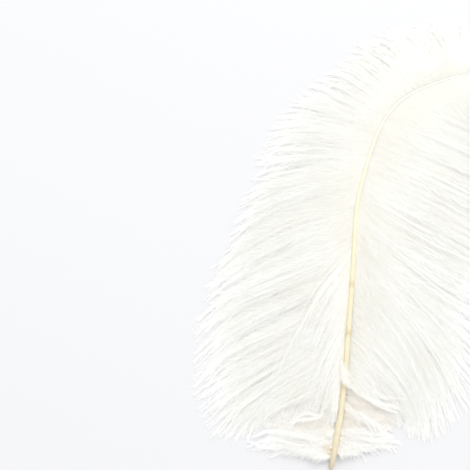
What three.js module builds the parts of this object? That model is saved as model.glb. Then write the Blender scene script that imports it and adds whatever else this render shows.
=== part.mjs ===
// A white ostrich plume lying on a flat surface: the quill, the loose vane of barbs on each
// side of it, and the tuft of down on each side of its base.
//
// Millimetres, +Z up. +Y runs from the quill's base towards its tip, which bends over to +X.
// The quill arches over the surface, and each vane slopes down from it, until the ends of the
// barbs lie flat on the surface at z = 0. A vane is a thin closed sheet as deep as its layer of
// barbs, from the quill's side to the barbs' tips.

import * as THREE from "three";

// ---- Driving dimensions ----

const QUILL_SIDES = 12;
const QUILL_STEPS = 56;
const GAP = 0.4; // between the quill and the barbs' roots

// The quill's centreline, from the base of the calamus to the tip of the rachis.
const QUILL_ROUTE = [
  [0, 0, 2.2],
  [6.5, 40, 3.6],
  [11.2, 92, 8],
  [14.9, 148, 13],
  [17, 182, 15],
  [23.5, 211, 15.5],
  [36, 243, 14.5],
  [50.5, 259, 13],
  [70, 268.5, 11],
  [92, 275, 8.5],
  [111, 276, 6],
  [125, 270, 4],
];

// The quill's half width at each distance from its base.
const QUILL_RADIUS = [
  [0, 1.1],
  [3, 1.8],
  [10, 2.3],
  [45, 2.4],
  [95, 2.2],
  [155, 1.65],
  [200, 1.3],
  [240, 0.9],
  [280, 0.6],
  [350, 0.35],
];

// Where the barbs of each vane and tuft end, from the lowest barb to the highest: x, y and the
// distance along the quill, from its base, at which a barb that ends there has its root.
const VANE_LEFT = {
  name: "vane_left",
  side: -1,
  edge: [
    [-48, 25, 52],
    [-87, 48, 80],
    [-90, 82, 110],
    [-84, 113, 140],
    [-73, 150, 170],
    [-58, 195, 200],
    [-38, 240, 230],
    [-8, 278, 260],
    [30, 305, 288],
    [80, 316, 313],
    [130, 308, 331],
    [160, 285, 342],
    [169, 257, 348],
  ],
  rootDepth: 2.6,
  tipDepth: 1.3,
  ribs: 44,
  steps: 8,
};

const VANE_RIGHT = {
  name: "vane_right",
  side: 1,
  edge: [
    [50, 25, 52],
    [78, 34, 80],
    [92, 59, 110],
    [102, 88, 140],
    [113, 116, 170],
    [125, 148, 200],
    [137, 180, 230],
    [147, 203, 260],
    [156, 222, 290],
    [163, 237, 320],
    [167, 248, 348],
  ],
  rootDepth: 2.6,
  tipDepth: 1.3,
  ribs: 44,
  steps: 8,
};

const DOWN_LEFT = {
  name: "down_tuft_left",
  side: -1,
  edge: [
    [-24, 5, 18],
    [-52, 15, 27],
    [-44, 21, 37],
    [-28, 29, 46],
  ],
  rootDepth: 1.8,
  tipDepth: 1,
  ribs: 9,
  steps: 5,
};

const DOWN_RIGHT = {
  name: "down_tuft_right",
  side: 1,
  edge: [
    [26, 6, 18],
    [45, 15, 27],
    [40, 22, 37],
    [28, 32, 46],
  ],
  rootDepth: 1.8,
  tipDepth: 1,
  ribs: 9,
  steps: 5,
};

const LANDING = 0.82; // the share of a barb's reach at which it comes down to the surface

const IVORY = new THREE.MeshStandardMaterial({
  color: 0xf1e3b4,
  roughness: 0.4,
  metalness: 0,
});
const WHITE_BARBS = new THREE.MeshStandardMaterial({
  color: 0xf8f7f0,
  roughness: 0.9,
  metalness: 0,
  side: THREE.DoubleSide,
});
const WHITE_DOWN = new THREE.MeshStandardMaterial({
  color: 0xfbfaf6,
  roughness: 0.95,
  metalness: 0,
  side: THREE.DoubleSide,
});

// ---- The quill's line ----

const quillLine = new THREE.CatmullRomCurve3(
  QUILL_ROUTE.map((p) => new THREE.Vector3(...p)),
  false,
  "centripetal",
);
quillLine.arcLengthDivisions = 600;
const quillLength = quillLine.getLength();

// A value from a table of [distance, value] rows, in straight lines between the rows.
function fromTable(table, distance) {
  const next = table.findIndex(([d]) => d >= distance);
  if (next === 0) return table[0][1];
  if (next < 0) return table[table.length - 1][1];
  const [d0, v0] = table[next - 1];
  const [d1, v1] = table[next];
  return THREE.MathUtils.mapLinear(distance, d0, d1, v0, v1);
}

// The quill at a distance from its base: its centre, its direction, and the level direction to
// its right.
function quillAt(distance) {
  const share = THREE.MathUtils.clamp(distance / quillLength, 0, 1);
  const centre = quillLine.getPointAt(share);
  const along = quillLine.getTangentAt(share);
  const right = new THREE.Vector3(along.y, -along.x, 0).normalize();
  const radius = fromTable(QUILL_RADIUS, distance);
  return { centre, along, right, radius };
}

// A closed mesh from a list of [x, y, z] points and a list of [a, b, c] triangles.
function closedMesh(name, points, triangles, material) {
  const geometry = new THREE.BufferGeometry();
  geometry.setAttribute("position", new THREE.Float32BufferAttribute(points.flat(), 3));
  geometry.setIndex(triangles.flat());
  geometry.computeVertexNormals();
  const mesh = new THREE.Mesh(geometry, material);
  mesh.name = name;
  return mesh;
}

// ---- Pieces ----

// The quill is a tapering rod, round in section, closed by a flat face at each end.
function quill() {
  const points = [];
  const triangles = [];
  for (let step = 0; step <= QUILL_STEPS; step++) {
    const { centre, along, right, radius } = quillAt((quillLength * step) / QUILL_STEPS);
    const up = new THREE.Vector3().crossVectors(right, along);
    for (let side = 0; side < QUILL_SIDES; side++) {
      const angle = (2 * Math.PI * side) / QUILL_SIDES;
      const out = right
        .clone()
        .multiplyScalar(Math.cos(angle))
        .addScaledVector(up, Math.sin(angle));
      points.push(centre.clone().addScaledVector(out, radius).toArray());
    }
  }
  for (let step = 0; step < QUILL_STEPS; step++) {
    for (let side = 0; side < QUILL_SIDES; side++) {
      const a = step * QUILL_SIDES + side;
      const b = step * QUILL_SIDES + ((side + 1) % QUILL_SIDES);
      triangles.push([a, a + QUILL_SIDES, b]);
      triangles.push([b, a + QUILL_SIDES, b + QUILL_SIDES]);
    }
  }
  const last = QUILL_STEPS * QUILL_SIDES;
  for (let side = 1; side < QUILL_SIDES - 1; side++) {
    triangles.push([0, side, side + 1]);
    triangles.push([last, last + side + 1, last + side]);
  }
  return closedMesh("quill", points, triangles, IVORY);
}

// A vane or a tuft is a thin sheet of ribs. Each rib runs level from the quill's side to the
// edge while it comes down to the surface, and lies on it from there to its tip.
function barbSheet({ name, side, edge, rootDepth, tipDepth, ribs, steps }, material) {
  const edgeLine = new THREE.CatmullRomCurve3(
    edge.map((row) => new THREE.Vector3(...row)),
    false,
    "centripetal",
  );
  const upper = [];
  const lower = [];
  for (let rib = 0; rib <= ribs; rib++) {
    const tip = edgeLine.getPoint(rib / ribs);
    const { centre, right, radius } = quillAt(tip.z);
    const root = centre.clone().addScaledVector(right, side * (radius + GAP));
    for (let step = 0; step <= steps; step++) {
      const reach = step / steps;
      const x = THREE.MathUtils.lerp(root.x, tip.x, reach);
      const y = THREE.MathUtils.lerp(root.y, tip.y, reach);
      const depth = THREE.MathUtils.lerp(rootDepth, tipDepth, reach);
      const fall = THREE.MathUtils.smoothstep(reach, 0, LANDING);
      const under = Math.max(0, (root.z - rootDepth / 2) * (1 - fall));
      upper.push([x, y, under + depth]);
      lower.push([x, y, under]);
    }
  }

  const row = steps + 1;
  const offset = upper.length;
  const triangles = [];
  const quad = (a, b, c, d) => {
    const turn = side > 0 ? [a, b, c, d] : [d, c, b, a];
    triangles.push([turn[0], turn[1], turn[2]], [turn[0], turn[2], turn[3]]);
  };
  for (let rib = 0; rib < ribs; rib++) {
    for (let step = 0; step < steps; step++) {
      const a = rib * row + step;
      quad(a, a + 1, a + row + 1, a + row);
      quad(offset + a, offset + a + row, offset + a + row + 1, offset + a + 1);
    }
    const inner = rib * row;
    const outer = inner + steps;
    quad(inner, inner + row, offset + inner + row, offset + inner);
    quad(outer, offset + outer, offset + outer + row, outer + row);
  }
  for (let step = 0; step < steps; step++) {
    const first = step;
    const final = ribs * row + step;
    quad(first, offset + first, offset + first + 1, first + 1);
    quad(final, final + 1, offset + final + 1, offset + final);
  }
  return closedMesh(name, upper.concat(lower), triangles, material);
}

// ---- The plume ----

const plume = new THREE.Group();
plume.name = "ostrich_feather";
plume.add(
  quill(),
  barbSheet(VANE_LEFT, WHITE_BARBS),
  barbSheet(VANE_RIGHT, WHITE_BARBS),
  barbSheet(DOWN_LEFT, WHITE_DOWN),
  barbSheet(DOWN_RIGHT, WHITE_DOWN),
);

// The origin is on the surface, under the middle of the plume's outline.
const outline = new THREE.Box3().setFromObject(plume, true);
const middle = outline.getCenter(new THREE.Vector3());
plume.position.set(-middle.x, -middle.y, -outline.min.z);

export default plume;
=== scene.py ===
"""A white ostrich plume lying on a pale surface.

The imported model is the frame. A finer quill takes the place of its quill, and barbs take the place
of its two vanes and its two tufts of down. A barb is a narrow ribbon whose two edges carry a row of
barbules, so that each one is a single connected mesh.

Lengths are in millimetres, measured from the middle of the quill's base face, until a mesh is made.
"""

import math

import bpy
import numpy as np
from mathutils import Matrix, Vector


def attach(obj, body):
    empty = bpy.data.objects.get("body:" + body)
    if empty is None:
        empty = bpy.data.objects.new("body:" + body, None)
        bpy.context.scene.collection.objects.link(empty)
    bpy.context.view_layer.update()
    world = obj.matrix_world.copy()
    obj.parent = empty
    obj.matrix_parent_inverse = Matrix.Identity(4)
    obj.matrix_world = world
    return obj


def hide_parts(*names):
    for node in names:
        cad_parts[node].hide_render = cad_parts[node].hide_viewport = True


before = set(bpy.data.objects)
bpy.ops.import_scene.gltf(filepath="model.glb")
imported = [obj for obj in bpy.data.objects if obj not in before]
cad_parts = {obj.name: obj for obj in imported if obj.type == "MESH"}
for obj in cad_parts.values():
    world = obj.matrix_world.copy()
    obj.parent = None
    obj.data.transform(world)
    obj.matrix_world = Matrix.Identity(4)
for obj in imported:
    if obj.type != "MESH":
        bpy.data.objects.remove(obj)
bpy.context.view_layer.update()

# ---- Driving dimensions: the quill ----

MM = 0.001
ROOT_BODY = "root"
LINE_STEPS = 50  # points on a line for each of its rows

# The quill's centreline, from the base of the calamus to the tip of the rachis.
QUILL_ROUTE = [
    (0, 0, 2.2),
    (6.5, 40, 3.6),
    (11.2, 92, 8),
    (14.9, 148, 13),
    (17, 182, 15),
    (23.5, 211, 15.5),
    (36, 243, 14.5),
    (50.5, 259, 13),
    (70, 268.5, 11),
    (92, 275, 8.5),
    (111, 276, 6),
    (125, 270, 4),
]
# The quill's half width at each distance from its base.
QUILL_RADIUS = [
    (0, 1.1),
    (3, 1.8),
    (10, 2.3),
    (45, 2.4),
    (95, 2.2),
    (155, 1.65),
    (200, 1.3),
    (240, 0.9),
    (280, 0.6),
    (350, 0.35),
]
QUILL_SIDES = 24
QUILL_FLATNESS = 0.88  # its depth over its width
BASE_RINGS = (0, 0.25, 0.7, 1.4, 2.2)  # distances of the close rings at its narrow base
FIRST_RING = 3  # from here on, a ring stands at every millimetre
BASE_DISH = 0.5  # how far its base face is hollowed
TIP_POINT = 0.3  # how far its tip runs on past the last ring
GROOVE_START = 44  # where the groove begins that runs under the rachis
GROOVE_RAMP = 30  # the length over which it deepens
GROOVE_DEPTH = 0.42  # in half widths of the quill
GROOVE_WIDTH = 0.32

# Small tan marks on the quill, by their distance from its base, and half the length of one.
QUILL_SPOTS = [59, 97, 131]
SPOT_REACH = 3.5

# ---- Driving dimensions: the barbs ----

LEFT, RIGHT = -1, 1  # the signs of the quill's two sides
ROOT_AT, LEAN, DROOP = 2, 3, 4  # columns of the rows below, after x and y

# Where barbs end: the tip's x and y, the root's distance along the quill, the degrees by which the
# barb leans towards the quill's base where it leaves the quill, and the degrees by which it turns
# further that way at its tip.
LEFT_TIPS = [
    (-20, 50, 50, 35, 25),
    (-42, 39, 60, 40, 20),
    (-60, 25, 74, 42, 15),
    (-80, 30, 96, 45, 5),
    (-91, 55, 120, 42, 8),
    (-91, 90, 148, 35, 15),
    (-83, 125, 174, 22, 10),
    (-67, 166, 200, 18, 12),
    (-50, 214, 220, 15, 10),
    (-34, 246, 236, 5, 15),
    (-16, 264, 248, 12, 8),
    (6, 281, 262, 15, 25),
    (26, 299, 282, 5, 40),
    (52, 307, 300, 10, 45),
    (82, 311, 313, 0, 40),
    (110, 311, 325, -12, 35),
    (138, 302, 335, -25, 20),
    (156, 287, 343, -40, 15),
    (167, 271, 347, -64, 12),
    (171, 258, 348.4, -84, 2),
    (169, 246, 348.9, -94, 0),
]
RIGHT_TIPS = [
    (44, 40, 60, 22, 15),
    (54, 28, 74, 26, 25),
    (60, 28, 92, 28, 30),
    (66, 27, 112, 30, 25),
    (74, 28, 130, 38, 15),
    (87, 41, 146, 42, 10),
    (98, 66, 159, 43, 0),
    (107, 100, 172, 42, -10),
    (119, 136, 191, 20, -2),
    (130, 158, 213, 0, 10),
    (140, 184, 240, -8, 12),
    (149, 206, 265, -25, 10),
    (158, 226, 295, -40, 5),
    (163, 238, 325, -45, 5),
    (167, 245, 342, -60, 5),
    (171, 256, 348, -84, 0),
    (170, 264, 348.9, -96, 0),
]
# Long barbs that fall steeply beside the quill, over the others.
CASCADE_TIPS = [
    (-1, 26, 44, 60, -5),
    (-7, 21, 58, 62, -5),
    (-15, 20, 76, 60, -5),
    (-24, 22, 96, 58, -5),
    (-33, 30, 120, 58, -5),
    (-52, 33, 155, 58, 0),
]
# Loose barbs that lie over the others: how many, and the rows between which they end. The first of
# the left vane's have fallen over the quill to its right.
LOOSE_LEFT = [
    (9, (43, 40, 76, 55, 5), (47, 46, 84, 55, 5)),
    (3, (-31, 28, 34, 0, 40), (-27, 32, 38, 5, 50)),
    (3, (-58, 18, 12, -8, 15), (-50, 25, 17, 0, 30)),
    (3, (-78, 27, 96, 45, 10), (-86, 34, 104, 45, 5)),
]
LOOSE_RIGHT = [
    (3, (48, 21, 22, 3, 8), (45, 24, 26, 3, 10)),
]

# White down, the beige down that lies under it, whose beige is painted warm shade in the gaps at the
# base, a plumelet of down with long barbules, and a small matted curl, whose tan is partly its own and
# partly painted warm shade.
DOWN_LEFT_TIPS = [
    (-24, 10, 8, 0, 20),
    (-54, 18, 13, -5, 15),
    (-42, 22, 20, 10, 20),
    (-22, 25, 28, 30, 25),
]
DOWN_RIGHT_TIPS = [
    (24, 15, 12, 0, 12),
    (44, 21, 22, 0, 12),
    (38, 26, 30, 10, 20),
]
UNDER_LEFT_TIPS = [
    (-20, 16, 16, 10, 0),
    (-44, 30, 34, 15, 5),
    (-34, 42, 54, 30, 10),
]
UNDER_RIGHT_TIPS = [
    (20, 16, 16, 10, 0),
    (42, 30, 36, 10, 10),
    (50, 46, 70, 25, 10),
]
PLUMELET_TIPS = [
    (32, 27, 44, 30, 5),
    (37, 30, 49, 32, 5),
]
CURL_TIPS = [
    (-10, 15, 10, -10, 40),
    (-15, 18, 13, -20, 60),
]

# How many barbs each layer has, and the seed of the first layer of each kind.
LEFT_BARBS, RIGHT_BARBS, CASCADE_BARBS = 720, 600, 110
DOWN_BARBS = {
    "down_left": 46,
    "down_left_under": 52,
    "down_left_curl": 8,
    "down_right": 42,
    "down_right_under": 62,
    "down_right_plumelet": 4,
}
VANE_SEED, CASCADE_SEED, DOWN_SEED = 0, 10, 20

# How the barbs of a layer are made and how loosely they lie.
VANE_STYLE = {
    "slot": "barbs",
    "ramus": (0.55, 0.12),  # the width of a barb's ribbon, at its root and at its tip
    "spacing": 0.6,  # between barbules on one side of a barb
    "barbule": 9.5,  # the length of a barbule on a full barb
    "angle": 20,  # degrees between a barbule and its barb, near the root
    "fluff": 0.15,  # how far barbules rise or fall beside the barb, in their own lengths
    "clump": (3, 8),  # how many neighbours make a clump: from the first to below the second
    "gathered": 0.22,  # the share of barbs that are thin, lie higher and keep to their clump
    "ragged": 0.16,  # how far the barbs' lengths differ
    "fan": 0.6,  # degrees by which their directions differ
    "lean": 1.2,  # degrees by which they differ in leaving the quill
    "droop": 2.5,  # degrees by which they differ in turning at their tips
    "level": 0.25,  # how far up the quill's side they grow, in its half widths
    "loft": 4.5,  # the greatest height over a smooth fall to the surface
    "wave": 0.7,  # how far a barb waves from side to side
    "curl": 3.5,  # how far its tip curls to the side
    "over": False,  # whether it lies over the quill and the vanes
}
CASCADE_STYLE = {
    **VANE_STYLE,
    "barbule": 6,
    "fan": 2,
    "lean": 5,
    "droop": 8,
    "loft": 10,
}
LOOSE_STYLE = {
    **VANE_STYLE,
    "spacing": 0.26,
    "barbule": 4,
    "angle": 32,
    "fluff": 0.22,
    "gathered": 0,
    "fan": 3,
    "lean": 6,
    "droop": 8,
    "loft": 2,
    "wave": 1,
    "curl": 4,
    "over": True,
}
PLUMELET_STYLE = {
    **LOOSE_STYLE,
    "slot": "down",
    "barbule": 7.5,
    "angle": 24,
    "fan": 4,
    "lean": 5,
    "droop": 8,
    "curl": 2,
}
DOWN_STYLE = {
    "slot": "down",
    "ramus": (0.4, 0.1),
    "spacing": 0.3,
    "barbule": 5.5,
    "angle": 42,
    "fluff": 0.22,
    "clump": (3, 6),
    "gathered": 0.4,
    "ragged": 0.3,
    "fan": 5,
    "lean": 12,
    "droop": 14,
    "level": 0.25,
    "loft": 5,
    "wave": 1,
    "curl": 5,
    "over": False,
}
UNDER_STYLE = {
    **DOWN_STYLE,
    "barbule": 7.5,
    "ragged": 0.15,
    "fan": 4,
    "level": 0,
    "loft": 3,
    "curl": 2,
}

STRETCHES = ("base", "low", "middle", "bend", "tip")  # each vane is made in these meshes
TIP_SHARE = 0.42  # how far barbs are spaced by their tips, and not by their roots
ROOT_INSET = 0.85  # how far out on the quill barbs grow, in its half widths
HANDLE = 0.34  # the share of a barb's reach over which it keeps its first and last direction
DRIFT = 18  # about how many barbs in a row differ together
THIN, FULL = 0.3, 1.1  # the barbules' length on gathered barbs and on the others
FLOOR_GAP = 0.15  # the least height of any fibre over the surface

# How much of a style's differences comes barb by barb, in clumps, and slowly along the quill. The
# random draws are made in this order.
BY_BARB = {"length": 0.6, "fan": 0.8, "lean": 0.6, "droop": 0.5, "curl": 0.6, "loft": 0.04}
BY_CLUMP = {"length": 0.6, "fan": 0.5, "curl": 0.8}
BY_PLACE = {"fan": 0.7, "lean": 1, "droop": 1, "loft": 0.045}
BARB_LENGTHS = (-1.5, 0.3)  # the limits of the differences in length between barbs
CLUMP_LENGTHS = (-1.2, 0.24)  # and between clumps
CURL_DOWN = 0.6  # how far all tips curl towards the quill's base
USUAL_LOFT = 0.4  # how high most barbs lie, as a share of their layer's greatest height
GATHERED_LOFT = 0.09  # how much higher gathered barbs lie

# What differs evenly between two limits, barb by barb.
SPREADS = {
    "pull": (0.1, 0.4),  # how far a gathered barb is drawn to the middle one of its clump
    "fullness": (0.85, 1.15),  # how long its barbules are
    "wave": (0.3, 1),  # how far it waves, as a share of the style's wave
    "waves": (1.2, 3),  # how many waves it has
    "phase": (0, 2 * math.pi),  # where they begin
    "roll": (0.05, 0.2),  # how far it turns about its own line, in radians
    "rolls": (0.6, 1.6),  # how many times
    "tone": (0, 1),  # its tint
}

# Shares of a barb's reach.
RISE_SHARE = 0.2  # over which it rises as it leaves the quill
WAVE_SHARE = 0.3  # over which its waves grow to their full size
PULL_START = 0.5  # from which it is drawn to its clump
CURL_START = 0.72  # from which it curls
LANDING = 0.82  # at which it comes down to the surface
RAMUS_SHARE = 0.9  # over which its ribbon narrows

ROOT_RISE = 0.7  # how far a barb rises as it leaves the quill
LOFT_POWER = 0.8  # below 1, a barb rises sooner and comes down later
OVER_GAP = 0.5  # how far loose barbs lie over the quill and the vanes
QUILL_DRAPE = (0.5, 2.5)  # where they begin and end to come down from the quill, in its half widths
VANE_REACH = 80  # how far from the quill a vane comes down to the surface
VANE_LOFT = 2.2  # the height of a vane over a smooth fall from the quill
VANE_RISE = 24  # how far from the quill it has that height
LEAST_POINTS = 8  # on one barb

BARBULE_SIZES = (0.65, 1.25)  # the limits of the barbules' lengths on one barb
BARBULE_SWING = 6  # degrees by which their directions differ
BARBULE_SINK = -0.05  # the mean of their rise and fall beside the barb, in their own lengths
BARBULE_BEND = 6  # degrees by which they lie closer to the barb at its tip
BARBULE_TAPER = 0.65  # how much shorter they are there
TAPER_START = 0.6  # the share of a barb from which they get shorter
FIRST_BARBULE = 0.5  # the length of the first ones by the quill
FIRST_SHARE = 0.08  # the share of a barb over which they grow from that

# ---- Colours ----

WHITE = (1, 1, 1)
SPOT_TAN = (0.88, 0.8, 0.66)
# The quill's colour by the share of its length, and the tints of its grain.
QUILL_COLOURS = [
    (0, (0.55, 0.47, 0.36)),
    (0.03, (0.66, 0.59, 0.45)),
    (0.1, (0.725, 0.675, 0.515)),
    (0.35, (0.745, 0.705, 0.535)),
    (0.55, (0.79, 0.76, 0.59)),
    (0.75, (0.88, 0.87, 0.79)),
    (1, (0.95, 0.945, 0.915)),
]
GRAIN_TINTS = [(0.3, (0.95, 0.91, 0.78)), (0.62, WHITE)]
# Barbs, each at its root, along it and at its tip, and the tints that vary by barb and by place.
BARB_COLOURS = {
    "white_barbs": ((0.98, 0.972, 0.94), (0.99, 0.988, 0.972), (0.993, 0.993, 0.986)),
    "white_down": ((0.98, 0.972, 0.945), (0.99, 0.988, 0.975), (0.993, 0.993, 0.986)),
    # The beige under-down's colour is painted warm shade, for the gaps at the base where the surface
    # shows through.
    "beige_down_painted_shade": ((0.98, 0.955, 0.91), (0.982, 0.96, 0.925), (0.985, 0.975, 0.955)),
    # The curl's tan is partly the down's own colour and partly painted warm shade among the down by
    # the base.
    "tan_down_and_painted_shade": ((0.92, 0.85, 0.73), (0.94, 0.89, 0.8), (0.97, 0.95, 0.91)),
}
CREAM_SHARE = 0.16  # the share of a barb over which the colour of its root fades
TONE_TINTS = [(0, (0.986, 0.984, 0.974)), (0.6, WHITE)]
PATCH_TINTS = [(0.35, (0.99, 0.988, 0.98)), (0.65, WHITE)]
THROUGH = 0.5  # the share of light that passes through a barb

BARB_SURFACE = {
    "Roughness": 0.55,
    "Specular IOR Level": 0.35,
    "Sheen Weight": 0.15,
    "Sheen Roughness": 0.4,
}
QUILL_SURFACE = {
    "Roughness": 0.36,
    "Subsurface Weight": 0.25,
    "Subsurface Radius": (1, 0.7, 0.35),
    "Subsurface Scale": 0.0015,
    "Coat Weight": 0.2,
}
FLOOR_SURFACE = {
    "Base Color": (0.668, 0.668, 0.673, 1),
    "Roughness": 0.85,
    "Specular IOR Level": 0.1,
}
PATCH_NOISE = {"Scale": 45, "Detail": 3}
GRAIN_NOISE = {"Scale": 4, "Detail": 5}
GRAIN_BUMP = {"Strength": 0.35, "Distance": 0.0002}
GRAIN_ALONG = 0.06  # how far the grain's pattern moves on in one millimetre of the quill
GRAIN_ACROSS = 1.5  # and from its middle to its side

# ---- View and light ----

VIEW_CENTRE = (-67.2, 163.8)
VIEW_SIDE = 329
CAMERA_HEIGHT = 1300
SENSOR = 36

# In metres, watts and scene units from here on.
FLOOR_SIDE = 6.0
SKY_COLOUR = (0.97, 0.98, 1)
SKY_STRENGTH = 1.13
KEY_PLACE = (0.5, 1.5, 1.8)
KEY_TARGET = (0, 0.05, 0)
KEY_SIZE = 1.06
KEY_POWER = 27
KEY_COLOUR = (1, 0.985, 0.96)
DIFFUSE_BOUNCES = 12  # light passes through many white fibres before it leaves the vane


# ---- Lines ----


def smoothstep(low, high, x):
    share = np.clip((x - low) / (high - low), 0, 1)
    return share * share * (3 - 2 * share)


def line_through(rows):
    """Close points on a centripetal Catmull-Rom line through the rows, which may have any columns."""
    rows = np.array(rows, float)
    ends = (2 * rows[:1] - rows[1:2], 2 * rows[-1:] - rows[-2:-1])
    p = np.concatenate((ends[0], rows, ends[1]))
    gaps = np.linalg.norm(np.diff(p[:, :3], axis=0), axis=1) ** 0.5
    t = np.linspace(0, 1, LINE_STEPS, endpoint=False)[:, None]
    found = []
    for i in range(1, len(p) - 2):
        a, b, c = gaps[i - 1 : i + 2]
        p0, p1, p2, p3 = p[i - 1 : i + 3]
        out = b * ((p1 - p0) / a - (p2 - p0) / (a + b) + (p2 - p1) / b)
        into = b * ((p2 - p1) / b - (p3 - p1) / (b + c) + (p3 - p2) / c)
        found.append(
            p1
            + out * t
            + (3 * (p2 - p1) - 2 * out - into) * t**2
            + (2 * (p1 - p2) + out + into) * t**3
        )
    return np.concatenate((*found, p[-2:-1]))


def columns_at(table, column, values):
    """The table's rows where the column has these values, in straight lines between its rows."""
    return np.stack([np.interp(values, table[:, column], c) for c in table.T], axis=-1)


def unit(vectors):
    return vectors / np.linalg.norm(vectors, axis=-1, keepdims=True)


def turned(directions, degrees):
    """Level directions, turned anticlockwise as seen from above."""
    c, s = np.cos(np.radians(degrees)), np.sin(np.radians(degrees))
    x, y = directions[:, 0], directions[:, 1]
    return np.stack((c * x - s * y, s * x + c * y), axis=1)


def bezier(control, t):
    t = t[:, None]
    s = 1 - t
    return (
        s**3 * control[:, 0]
        + 3 * s**2 * t * control[:, 1]
        + 3 * s * t**2 * control[:, 2]
        + t**3 * control[:, 3]
    )


quill_line = line_through(QUILL_ROUTE)
quill_steps = np.linalg.norm(np.diff(quill_line, axis=0), axis=1)
quill_distance = np.concatenate(([0], np.cumsum(quill_steps)))
quill_length = quill_distance[-1]
quill_radii = np.array(QUILL_RADIUS, float)


def quill_at(distance):
    """The quill's centre, direction, level direction to the right, and half width."""
    def centre_at(d):
        return np.stack([np.interp(d, quill_distance, c) for c in quill_line.T], axis=-1)

    # The direction is that of two millimetres of the line, from one before the place.
    low = np.clip(distance - 1, 0, quill_length - 2)
    along = unit(centre_at(low + 2) - centre_at(low))
    right = np.stack((along[:, 1], -along[:, 0], np.zeros(len(along))), axis=1)
    radius = np.interp(distance, quill_radii[:, 0], quill_radii[:, 1])
    return centre_at(distance), along, unit(right), radius


def quill_base():
    """The middle of the CAD quill's base face, in the frame."""
    points = np.array([v.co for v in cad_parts["quill"].data.vertices]) / MM
    # The face is steep, so its points lie within a millimetre of the least Y.
    face = points[points[:, 1] < points[:, 1].min() + 1].round(3)
    return np.unique(face, axis=0).mean(0)


SHIFT = quill_base() - np.array(QUILL_ROUTE[0])


# ---- Meshes ----


def new_piece(name, points, faces, material, values, smooth):
    """A mesh object from points in millimetres, faces of one size, and a value list for each name."""
    mesh = bpy.data.meshes.new(name)
    mesh.vertices.add(len(points))
    mesh.vertices.foreach_set("co", ((points + SHIFT) * MM).astype(np.float32).ravel())
    corners = faces.shape[1]
    mesh.loops.add(faces.size)
    mesh.loops.foreach_set("vertex_index", faces.astype(np.int32).ravel())
    mesh.polygons.add(len(faces))
    mesh.polygons.foreach_set("loop_start", np.arange(0, faces.size, corners, dtype=np.int32))
    mesh.polygons.foreach_set("use_smooth", np.full(len(faces), smooth))
    for key, column in values.items():
        attribute = mesh.attributes.new(key, "FLOAT", "POINT")
        attribute.data.foreach_set("value", column.astype(np.float32))
    mesh.update(calc_edges=True)
    mesh.materials.append(material)
    piece = bpy.data.objects.new(name, mesh)
    bpy.context.scene.collection.objects.link(piece)
    return piece


def stand_for(piece, node):
    """The piece takes the place of the CAD model's node."""
    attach(piece, ROOT_BODY)
    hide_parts(node)


# ---- Materials ----


def node_material(name):
    material = bpy.data.materials.new(name)
    material.use_nodes = True
    tree = material.node_tree
    tree.nodes.clear()
    output = tree.nodes.new("ShaderNodeOutputMaterial")
    return material, tree, output


def node_with(tree, kind, inputs):
    """A new node of this kind, with these values at its inputs."""
    node = tree.nodes.new(kind)
    for name, value in inputs.items():
        node.inputs[name].default_value = value
    return node


def attribute_node(tree, name):
    node = tree.nodes.new("ShaderNodeAttribute")
    node.attribute_name = name
    return node


def ramp_node(tree, factor, stops):
    node = tree.nodes.new("ShaderNodeValToRGB")
    elements = node.color_ramp.elements
    while len(elements) < len(stops):
        elements.new(0.5)
    for element, (position, colour) in zip(elements, stops):
        element.position = position
        element.color = (*colour, 1)
    tree.links.new(factor, node.inputs["Fac"])
    return node


def multiply(tree, first, second):
    """The product of two colours, by a Mix node: its inputs 6 and 7, and its output 2, are colours."""
    node = node_with(tree, "ShaderNodeMix", {"Factor": 1})
    node.data_type = "RGBA"
    node.blend_type = "MULTIPLY"
    tree.links.new(first, node.inputs[6])
    tree.links.new(second, node.inputs[7])
    return node.outputs[2]


def barb_material(name):
    """Thin white keratin that lets light through, creamier by the quill and from barb to barb."""
    root, body, tip = BARB_COLOURS[name]
    material, tree, output = node_material(name)
    reach = attribute_node(tree, "reach")
    tone = attribute_node(tree, "tone")
    place = tree.nodes.new("ShaderNodeTexCoord")
    noise = node_with(tree, "ShaderNodeTexNoise", PATCH_NOISE)
    tree.links.new(place.outputs["Object"], noise.inputs["Vector"])
    along = ramp_node(tree, reach.outputs["Fac"], [(0, root), (CREAM_SHARE, body), (1, tip)])
    by_barb = ramp_node(tree, tone.outputs["Fac"], TONE_TINTS)
    patches = ramp_node(tree, noise.outputs["Fac"], PATCH_TINTS)
    colour = multiply(tree, along.outputs["Color"], by_barb.outputs["Color"])
    colour = multiply(tree, colour, patches.outputs["Color"])
    shader = node_with(tree, "ShaderNodeBsdfPrincipled", BARB_SURFACE)
    tree.links.new(colour, shader.inputs["Base Color"])
    through = tree.nodes.new("ShaderNodeBsdfTranslucent")
    tree.links.new(colour, through.inputs["Color"])
    both = node_with(tree, "ShaderNodeMixShader", {"Fac": THROUGH})
    tree.links.new(shader.outputs[0], both.inputs[1])
    tree.links.new(through.outputs[0], both.inputs[2])
    tree.links.new(both.outputs[0], output.inputs["Surface"])
    return material


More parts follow.
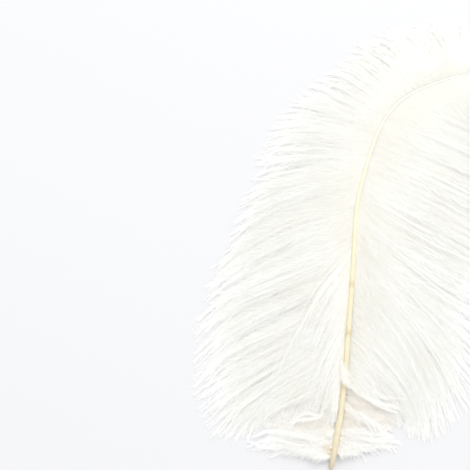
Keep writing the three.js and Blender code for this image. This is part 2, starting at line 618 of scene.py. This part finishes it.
def quill_material():
    """Satin keratin: tan at the bare base, ivory along the rachis, paler towards its tip."""
    material, tree, output = node_material("quill_keratin")
    distance = attribute_node(tree, "distance")
    around = attribute_node(tree, "around")
    share = node_with(tree, "ShaderNodeMapRange", {"From Max": quill_length})
    tree.links.new(distance.outputs["Fac"], share.inputs["Value"])
    along = ramp_node(tree, share.outputs[0], QUILL_COLOURS)

    # Fine grain that runs along the quill.
    stretched = tree.nodes.new("ShaderNodeMath")
    stretched.operation = "MULTIPLY"
    stretched.inputs[1].default_value = GRAIN_ALONG
    streak = tree.nodes.new("ShaderNodeCombineXYZ")
    grain = node_with(tree, "ShaderNodeTexNoise", GRAIN_NOISE)
    tree.links.new(distance.outputs["Fac"], stretched.inputs[0])
    tree.links.new(stretched.outputs[0], streak.inputs["X"])
    tree.links.new(around.outputs["Fac"], streak.inputs["Y"])
    tree.links.new(streak.outputs[0], grain.inputs["Vector"])
    tint = ramp_node(tree, grain.outputs["Fac"], GRAIN_TINTS)
    colour = multiply(tree, along.outputs["Color"], tint.outputs["Color"])

    stops = []
    for place in QUILL_SPOTS:
        ends = [place - SPOT_REACH, place, place + SPOT_REACH]
        stops += zip((end / quill_length for end in ends), (WHITE, SPOT_TAN, WHITE))
    spots = ramp_node(tree, share.outputs[0], stops)
    colour = multiply(tree, colour, spots.outputs["Color"])

    bump = node_with(tree, "ShaderNodeBump", GRAIN_BUMP)
    tree.links.new(grain.outputs["Fac"], bump.inputs["Height"])
    shader = node_with(tree, "ShaderNodeBsdfPrincipled", QUILL_SURFACE)
    tree.links.new(colour, shader.inputs["Base Color"])
    tree.links.new(bump.outputs["Normal"], shader.inputs["Normal"])
    tree.links.new(shader.outputs[0], output.inputs["Surface"])
    return material


# ---- The quill ----


def make_quill():
    """A tapering rod, a little flatter than round, with the groove that runs under the rachis."""
    distance = np.concatenate((BASE_RINGS, np.arange(FIRST_RING, quill_length), [quill_length]))
    centre, along, right, radius = quill_at(distance)
    up = np.cross(right, along)
    angle = 2 * math.pi * np.arange(QUILL_SIDES) / QUILL_SIDES
    across = np.cos(angle)[None, :] * radius[:, None]
    height = QUILL_FLATNESS * np.sin(angle)[None, :] * radius[:, None]
    below = np.exp(-((np.cos(angle) / GROOVE_WIDTH) ** 2)) * (np.sin(angle) < 0)
    depth = GROOVE_DEPTH * radius * smoothstep(GROOVE_START, GROOVE_START + GROOVE_RAMP, distance)
    height = height + depth[:, None] * below[None, :]
    points = (
        centre[:, None]
        + across[..., None] * right[:, None]
        + height[..., None] * up[:, None]
    ).reshape(-1, 3)
    rings = len(distance)
    ring, side = np.meshgrid(np.arange(rings - 1), np.arange(QUILL_SIDES), indexing="ij")
    a = (ring * QUILL_SIDES + side).ravel()
    b = (ring * QUILL_SIDES + (side + 1) % QUILL_SIDES).ravel()
    hub = len(points)
    near = np.arange(QUILL_SIDES)
    far = (rings - 1) * QUILL_SIDES + near
    faces = np.concatenate(
        (
            np.stack((a, a + QUILL_SIDES, b), axis=1),
            np.stack((b, a + QUILL_SIDES, b + QUILL_SIDES), axis=1),
            np.stack((np.full(QUILL_SIDES, hub), near, np.roll(near, -1)), axis=1),
            np.stack((np.full(QUILL_SIDES, hub + 1), np.roll(far, -1), far), axis=1),
        )
    )
    hubs = (centre[:1] + along[:1] * BASE_DISH, centre[-1:] + along[-1:] * TIP_POINT)
    points = np.concatenate((points, *hubs))
    values = {
        "distance": np.concatenate((np.repeat(distance, QUILL_SIDES), [0, quill_length])),
        "around": np.concatenate((np.tile(np.cos(angle) * GRAIN_ACROSS, rings), [0, 0])),
    }
    piece = new_piece("quill_shaft", points, faces, quill_material(), values, True)
    stand_for(piece, "quill")


# ---- Barbs ----


def drift(rng, count):
    """A smooth random series, in which near values are alike."""
    knots = rng.normal(0, 1, int(count / DRIFT) + 3)
    where = np.arange(count) / DRIFT + rng.random()
    low = where.astype(int)
    return knots[low] + smoothstep(0, 1, where - low) * (knots[low + 1] - knots[low])


def even_roots(rng, table, count):
    """Distances along the quill, so that the barbs are about evenly spaced at roots and tips."""
    steps = np.linalg.norm(np.diff(table[:, :2], axis=0), axis=1)
    steps = TIP_SHARE * steps + (1 - TIP_SHARE) * np.abs(np.diff(table[:, ROOT_AT]))
    measure = np.concatenate(([0], np.cumsum(steps)))
    shares = (np.arange(count) + rng.uniform(0, 1, count)) / count
    return np.sort(np.interp(shares * measure[-1], measure, table[:, ROOT_AT]))


def scaled(shares, series):
    """The series by name, each times its share."""
    return {key: share * values for (key, share), values in zip(shares.items(), series)}


def lay_out(rng, tips, side, count, style):
    """The shapes of count barbs that leave one side of the quill and end along a line of tips."""
    table = line_through(tips)
    distance = even_roots(rng, table, count)
    rows = columns_at(table, ROOT_AT, distance)
    centre, _, right, radius = quill_at(distance)
    out = side * right
    root = centre + out * (ROOT_INSET * radius)[:, None]
    root[:, 2] += style["level"] * radius

    # Barbs differ one by one, in clumps, and slowly along the quill.
    clump = np.repeat(np.arange(count), rng.integers(*style["clump"], count))[:count]
    gathered = rng.random(count) < style["gathered"]
    own = scaled(BY_BARB, rng.normal(0, 1, (len(BY_BARB), count)))
    shared = scaled(BY_CLUMP, rng.normal(0, 1, (len(BY_CLUMP), count))[:, clump] * gathered)
    slow = scaled(BY_PLACE, [drift(rng, count) for _ in BY_PLACE])
    spread = {key: rng.uniform(*limits, count) for key, limits in SPREADS.items()}

    length = np.clip(shared["length"], *CLUMP_LENGTHS) + np.clip(own["length"], *BARB_LENGTHS)
    fan = style["fan"] * (slow["fan"] + shared["fan"] + own["fan"])
    lean = rows[:, LEAN] + style["lean"] * (slow["lean"] + own["lean"])
    droop = rows[:, DROOP] + style["droop"] * (slow["droop"] + own["droop"])
    curl = style["curl"] * (shared["curl"] + own["curl"] - CURL_DOWN * side)
    loft = USUAL_LOFT + GATHERED_LOFT * gathered + slow["loft"] + own["loft"]

    chord = (rows[:, :2] - root[:, :2]) * (1 + style["ragged"] * length)[:, None]
    chord = turned(chord, fan)
    reach = np.linalg.norm(chord, axis=1)
    tip = root[:, :2] + chord
    handle = (HANDLE * reach)[:, None]
    leaving = turned(unit(out[:, :2]), -side * lean) * handle
    arriving = turned(unit(chord), -side * droop) * handle
    control = np.stack((root[:, :2], root[:, :2] + leaving, tip - arriving, tip), axis=1)
    starts = np.flatnonzero(np.diff(clump, prepend=-1))
    sizes = np.diff(np.append(starts, count))
    leader = np.repeat(starts + sizes // 2, sizes)
    return {
        **spread,
        "control": control,
        "leader": control[leader],
        "pull": gathered * spread["pull"],
        "reach": reach,
        "root_height": root[:, 2],
        "fullness": np.where(gathered, THIN, FULL) * spread["fullness"],
        "loft": style["loft"] * np.clip(loft, 0, 1),
        "wave": style["wave"] * spread["wave"],
        "curl": curl,
        "over": np.full(count, style["over"]),
    }


def draped(plan):
    """The height of the quill, or of the vane beside it, at these places."""
    # Every other point of the quill's line is close enough to its neighbours.
    line = quill_line[::2]
    gaps = np.linalg.norm(plan[:, None] - line[None, :, :2], axis=2)
    nearest = gaps.argmin(axis=1)
    aside = gaps.min(axis=1)
    radius = np.interp(quill_distance[::2][nearest], quill_radii[:, 0], quill_radii[:, 1])
    vane = line[nearest, 2] * (1 - smoothstep(0, VANE_REACH, aside))
    vane = vane + VANE_LOFT * smoothstep(0, VANE_RISE, aside)
    return vane + radius * (1 - smoothstep(*QUILL_DRAPE, aside / radius))


def places(barbs, who, t):
    """Where the barbs numbered who are at the shares t of their reach."""
    pull = barbs["pull"][who] * smoothstep(PULL_START, 1, t)
    plan = bezier(barbs["control"][who], t)
    leader = bezier(barbs["leader"][who], t)
    chord = unit(barbs["control"][:, 3] - barbs["control"][:, 0])[who]
    across = np.stack((-chord[:, 1], chord[:, 0]), axis=1)
    turns = barbs["waves"][who] * t
    waving = barbs["wave"][who] * np.sin(2 * math.pi * turns + barbs["phase"][who])
    curling = barbs["curl"][who] * smoothstep(CURL_START, 1, t) ** 2
    aside = waving * smoothstep(0, WAVE_SHARE, t) + curling
    plan = plan + pull[:, None] * (leader - plan) + aside[:, None] * across
    fall = barbs["root_height"][who] * (1 - smoothstep(0, LANDING, t))
    loft = barbs["loft"][who] * (4 * t * (1 - t)) ** LOFT_POWER
    height = fall + loft + ROOT_RISE * smoothstep(0, RISE_SHARE, t)
    over = barbs["over"][who]
    if over.any():
        height[over] = (draped(plan) + loft + OVER_GAP)[over]
    return np.concatenate((plan, height[:, None]), axis=1)


def barb_mesh(name, rng, barbs, style, material, node):
    """One mesh of all these barbs. The points run along each barb on its two edges in turn."""
    counts = np.maximum((2 * barbs["reach"] / style["spacing"]).astype(int), LEAST_POINTS)
    who = np.repeat(np.arange(len(counts)), counts)
    number = np.arange(len(who)) - np.repeat(np.cumsum(counts) - counts, counts)
    t = number / (counts[who] - 1)
    step = 0.5 / counts[who]
    centre = places(barbs, who, t)
    before = places(barbs, who, np.maximum(t - step, 0))
    after = places(barbs, who, np.minimum(t + step, 1))
    forward = unit(after - before)
    level = unit(np.cross(forward, (0, 0, 1)))
    rise = np.cross(level, forward)
    turns = barbs["rolls"][who] * t
    roll = barbs["roll"][who] * np.sin(2 * math.pi * turns + barbs["phase"][who])
    beside = level * np.cos(roll)[:, None] + rise * np.sin(roll)[:, None]
    over = np.cross(beside, forward)
    hand = 1.0 - 2 * (number % 2)
    thick, thin = style["ramus"]
    width = thick + (thin - thick) * smoothstep(0, RAMUS_SHARE, t)
    edge = centre + beside * (0.5 * hand * width)[:, None]

    # A barbule stands on each stretch of edge, from one point to the next on the same side.
    base = np.flatnonzero(number < counts[who] - 2)
    share = t[base]
    size = style["barbule"] * barbs["fullness"][who[base]] * rng.uniform(*BARBULE_SIZES, len(base))
    size = size * (FIRST_BARBULE + (1 - FIRST_BARBULE) * smoothstep(0, FIRST_SHARE, share))
    size = size * (1 - BARBULE_TAPER * smoothstep(TAPER_START, 1, share))
    angle = style["angle"] - BARBULE_BEND * share + rng.normal(0, BARBULE_SWING, len(base))
    angle = np.radians(angle)
    lift = rng.normal(BARBULE_SINK, style["fluff"], len(base))
    away = (
        forward[base] * np.cos(angle)[:, None]
        + beside[base] * (hand[base] * np.sin(angle))[:, None]
        + over[base] * lift[:, None]
    )
    tips = 0.5 * (edge[base] + edge[base + 2]) + unit(away) * size[:, None]
    points = np.concatenate((edge, tips))
    points[:, 2] = np.maximum(points[:, 2], FLOOR_GAP)

    odd = (number[base] % 2 == 1)[:, None]
    tip = len(edge) + np.arange(len(base))
    ribbon = np.stack((base, base + 1, base + 2), axis=1)
    barbule = np.stack((base, base + 2, tip), axis=1)
    faces = np.concatenate((ribbon, barbule))
    faces = np.where(np.concatenate((odd, odd)), faces[:, [1, 0, 2]], faces)
    source = np.concatenate((np.arange(len(edge)), base))
    values = {"reach": t[source], "tone": barbs["tone"][who][source]}
    piece = new_piece(name, points, faces, material, values, False)
    stand_for(piece, node)


def make_vanes():
    """The two vanes, the loose barbs over each, and the steep barbs beside the quill."""
    white = barb_material("white_barbs")
    vanes = [
        ("left", LEFT, LEFT_BARBS, LEFT_TIPS, LOOSE_LEFT, "vane_left"),
        ("right", RIGHT, RIGHT_BARBS, RIGHT_TIPS, LOOSE_RIGHT, "vane_right"),
    ]
    for seed, (name, side, count, tips, loose, node) in enumerate(vanes, start=VANE_SEED):
        rng = np.random.default_rng(seed)
        barbs = lay_out(rng, tips, side, count, VANE_STYLE)
        measure = np.cumsum(barbs["reach"])
        stretch = (len(STRETCHES) * measure / (measure[-1] + 1)).astype(int)
        for i, where in enumerate(STRETCHES):
            some = {key: values[stretch == i] for key, values in barbs.items()}
            barb_mesh(f"barbs_{name}_{where}", rng, some, VANE_STYLE, white, node)
        groups = [lay_out(rng, ends, side, few, LOOSE_STYLE) for few, *ends in loose]
        some = {key: np.concatenate([group[key] for group in groups]) for key in groups[0]}
        barb_mesh(f"barbs_{name}_loose", rng, some, LOOSE_STYLE, white, node)

    rng = np.random.default_rng(CASCADE_SEED)
    barbs = lay_out(rng, CASCADE_TIPS, LEFT, CASCADE_BARBS, CASCADE_STYLE)
    barb_mesh("barbs_left_cascade", rng, barbs, CASCADE_STYLE, white, "vane_left")


def make_down():
    """The tufts of down at the quill's bare base."""
    left = (LEFT, "down_tuft_left")
    right = (RIGHT, "down_tuft_right")
    # The beige of the under-down is painted warm shade; the curl's tan is partly its own colour and
    # partly painted warm shade.
    white, beige, tan = (barb_material(name) for name in ("white_down", "beige_down_painted_shade", "tan_down_and_painted_shade"))
    tufts = [
        ("down_left", left, DOWN_LEFT_TIPS, DOWN_STYLE, white),
        ("down_left_under", left, UNDER_LEFT_TIPS, UNDER_STYLE, beige),
        # The curl's tan is partly its own colour and partly painted warm shade.
        ("down_left_curl", left, CURL_TIPS, DOWN_STYLE, tan),
        ("down_right", right, DOWN_RIGHT_TIPS, DOWN_STYLE, white),
        ("down_right_under", right, UNDER_RIGHT_TIPS, UNDER_STYLE, beige),
        ("down_right_plumelet", right, PLUMELET_TIPS, PLUMELET_STYLE, white),
    ]
    for seed, (name, (side, node), tips, style, material) in enumerate(tufts, start=DOWN_SEED):
        rng = np.random.default_rng(seed)
        barbs = lay_out(rng, tips, side, DOWN_BARBS[name], style)
        barb_mesh(name, rng, barbs, style, material, node)


# ---- Camera, floor and light ----


def make_camera():
    """Straight above the surface, at the distance that frames VIEW_SIDE."""
    data = bpy.data.cameras.new("camera")
    data.sensor_width = SENSOR
    data.lens = SENSOR * CAMERA_HEIGHT / VIEW_SIDE
    camera = bpy.data.objects.new("camera", data)
    place = (np.array((*VIEW_CENTRE, 0)) + SHIFT) * MM
    camera.location = (place[0], place[1], CAMERA_HEIGHT * MM)
    bpy.context.scene.collection.objects.link(camera)
    bpy.context.scene.camera = camera


def make_floor():
    half = FLOOR_SIDE / 2
    corners = [(-half, -half, 0), (half, -half, 0), (half, half, 0), (-half, half, 0)]
    mesh = bpy.data.meshes.new("floor")
    mesh.from_pydata(corners, [], [(0, 1, 2, 3)])
    material, tree, output = node_material("pale_surface")
    shader = node_with(tree, "ShaderNodeBsdfPrincipled", FLOOR_SURFACE)
    tree.links.new(shader.outputs[0], output.inputs["Surface"])
    mesh.materials.append(material)
    floor = bpy.data.objects.new("floor", mesh)
    bpy.context.scene.collection.objects.link(floor)


def make_light():
    """An even pale sky, and a large disk of light above the feather's tip."""
    world = bpy.data.worlds.new("studio")
    world.use_nodes = True
    background = world.node_tree.nodes["Background"]
    background.inputs["Color"].default_value = (*SKY_COLOUR, 1)
    background.inputs["Strength"].default_value = SKY_STRENGTH
    scene = bpy.context.scene
    scene.world = world
    scene.view_settings.view_transform = "Standard"
    scene.cycles.diffuse_bounces = DIFFUSE_BOUNCES

    data = bpy.data.lights.new("key", "AREA")
    data.shape = "DISK"
    data.size = KEY_SIZE
    data.energy = KEY_POWER
    data.color = KEY_COLOUR
    light = bpy.data.objects.new("key", data)
    light.location = KEY_PLACE
    aim = Vector(KEY_TARGET) - Vector(KEY_PLACE)
    light.rotation_euler = aim.to_track_quat("-Z", "Y").to_euler()
    scene.collection.objects.link(light)


make_camera()
make_floor()
make_light()
make_quill()
make_vanes()
make_down()
